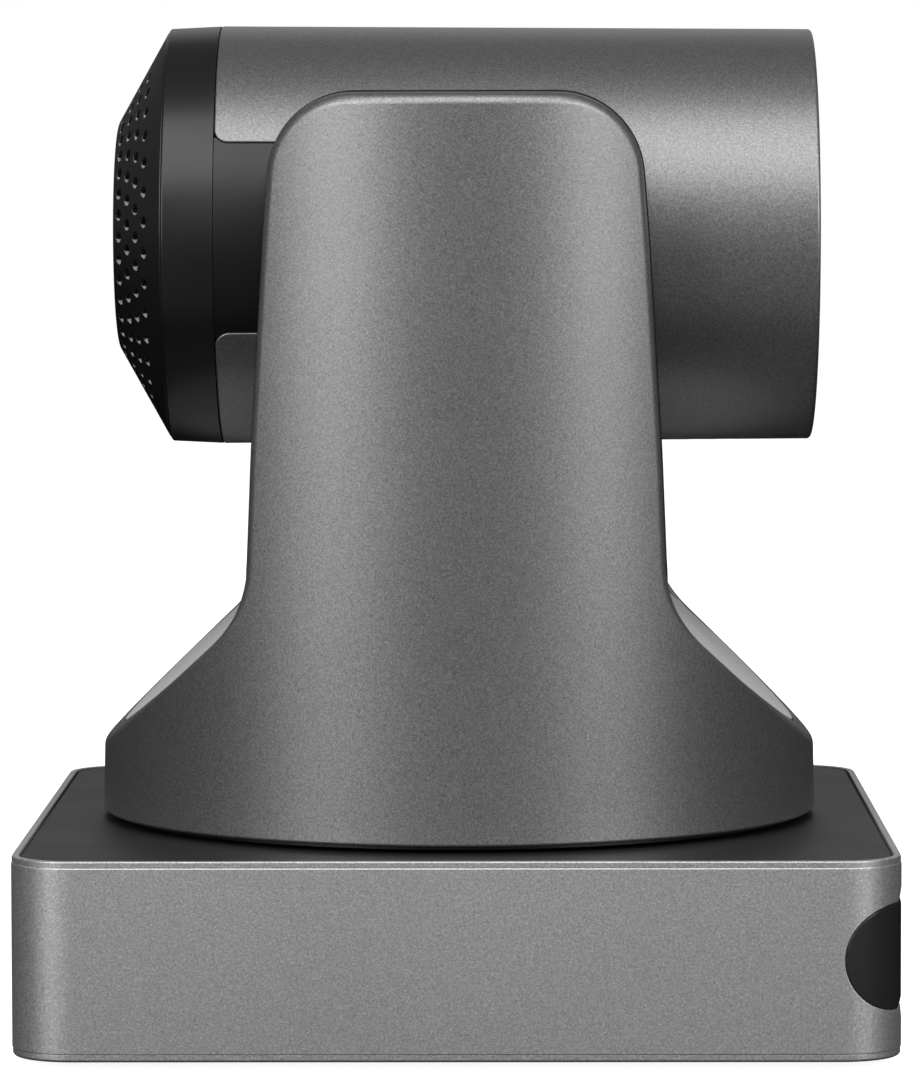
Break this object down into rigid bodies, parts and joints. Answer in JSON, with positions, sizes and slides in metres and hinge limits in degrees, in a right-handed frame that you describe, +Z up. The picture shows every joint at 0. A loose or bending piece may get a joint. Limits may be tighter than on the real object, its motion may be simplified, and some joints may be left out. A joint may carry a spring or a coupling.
{
  "type": "ptz camera",
  "caption": "Desktop pan-tilt-zoom conference camera: a barrel head tilts between the two arms of a turning yoke on a square base with rear sockets",
  "frame": {"origin": "on the pan axis, in the plane under the rubber feet", "axes": "+Z up, +X the way the lens looks with pan at 0, +Y the camera's left"},
  "size_m": [0.142, 0.142, 0.1662],
  "materials": {
    "grey_paint": "fine metallic grey paint, satin",
    "base_paint": "fine metallic silver-grey paint on a casting, satin",
    "light_paint": "light metallic grey paint, satin",
    "black_satin": "satin black moulding",
    "black_vent": "satin black moulding with fine grain",
    "smoked_window": "gloss black, infra-red pass",
    "rubber": "matt black rubber",
    "steel": "plain sheet steel",
    "frame_alloy": "die-cast alloy",
    "brass": "turned brass",
    "board": "green circuit board",
    "nylon": "natural nylon",
    "lens_glass": "coated optical glass",
    "belt": "toothed rubber belt"
  },
  "bodies": {
    "base": {"base_housing": "base_paint", "base_top_panel": "black_satin", "base_bottom_plate": "frame_alloy", "tripod_insert": "brass", "rubber_foot_1": "rubber", "rubber_foot_2": "rubber", "rubber_foot_3": "rubber", "rubber_foot_4": "rubber", "ir_window": "smoked_window", "ir_receiver_board": "board", "rear_io_panel": "black_satin", "dc_jack": "black_satin", "rs232_out_port": "black_satin", "rs232_in_port": "black_satin", "audio_jack": "steel", "usb_port": "steel", "lan_port": "steel", "hdmi_port": "steel", "sdi_connector": "steel", "main_board": "board", "pan_post": "steel", "pan_sun_gear": "nylon"},
    "yoke": {"pan_bearing": "steel", "turntable": "frame_alloy", "pan_motor": "steel", "pan_motor_bracket": "frame_alloy", "yoke_shell": "grey_paint", "front_slope_cover": "light_paint", "rear_slope_cover": "light_paint", "floor_cover": "light_paint", "left_arm_inner_cover": "grey_paint", "right_arm_inner_cover": "grey_paint", "left_arm_frame": "steel", "left_tilt_bearing": "steel", "right_arm_frame": "steel", "right_tilt_bearing": "steel", "tilt_motor": "steel", "tilt_belt": "belt"},
    "pan_motor_gear": {"pan_pinion": "brass"},
    "tilt_motor_shaft": {"tilt_motor_pulley": "nylon"},
    "camera_head": {"left_trunnion": "steel", "right_trunnion": "steel", "tilt_pulley": "nylon", "barrel_shell": "grey_paint", "left_side_cover": "black_satin", "right_side_cover": "black_satin", "rear_ring": "black_satin", "rear_vent_cap": "black_vent", "front_bezel": "black_satin", "lens_housing": "black_satin", "front_lens": "lens_glass", "fixed_lens_group": "lens_glass", "zoom_motor": "steel", "focus_motor": "steel", "head_chassis": "frame_alloy", "sensor_board": "board"},
    "zoom_group": {"zoom_lens_carriage": "lens_glass"},
    "zoom_screw": {"zoom_lead_screw": "brass"},
    "focus_group": {"focus_lens_carriage": "lens_glass"},
    "focus_screw": {"focus_lead_screw": "brass"}
  },
  "joints": [
    {"name": "pan", "type": "hinge", "parent": "base", "child": "yoke", "pos_m": [0, 0, 0.034], "axis": [0, 0, 1], "range_deg": [-170, 170]},
    {"name": "tilt", "type": "hinge", "parent": "yoke", "child": "camera_head", "pos_m": [0, 0, 0.131], "axis": [0, -1, 0], "range_deg": [-30, 90]},
    {"name": "pan_motor_spin", "type": "hinge", "parent": "yoke", "child": "pan_motor_gear", "pos_m": [0.0288, -0.02417, 0.0425], "axis": [0, 0, 1], "range_deg": [-684, 684]},
    {"name": "tilt_motor_spin", "type": "hinge", "parent": "yoke", "child": "tilt_motor_shaft", "pos_m": [0, 0.045, 0.0562], "axis": [0, -1, 0], "range_deg": [-80, 236]},
    {"name": "zoom_travel", "type": "slide", "parent": "camera_head", "child": "zoom_group", "axis": [1, 0, 0], "range_m": [-0.0014, 0.0158]},
    {"name": "zoom_screw_spin", "type": "hinge", "parent": "camera_head", "child": "zoom_screw", "pos_m": [0.01, 0, 0.156], "axis": [1, 0, 0], "range_deg": [-102, 1140]},
    {"name": "focus_travel", "type": "slide", "parent": "camera_head", "child": "focus_group", "axis": [1, 0, 0], "range_m": [-0.0014, 0.0064]},
    {"name": "focus_screw_spin", "type": "hinge", "parent": "camera_head", "child": "focus_screw", "pos_m": [0, 0, 0.106], "axis": [1, 0, 0], "range_deg": [-102, 462]}
  ],
  "couplings": [
    {"joint": "pan_motor_spin", "follows": "pan", "ratio": 4},
    {"joint": "tilt_motor_spin", "follows": "tilt", "ratio": 2.6},
    {"joint": "zoom_screw_spin", "follows": "zoom_travel", "rad_per_m": 1256.6},
    {"joint": "focus_screw_spin", "follows": "focus_travel", "rad_per_m": 1256.6}
  ]
}
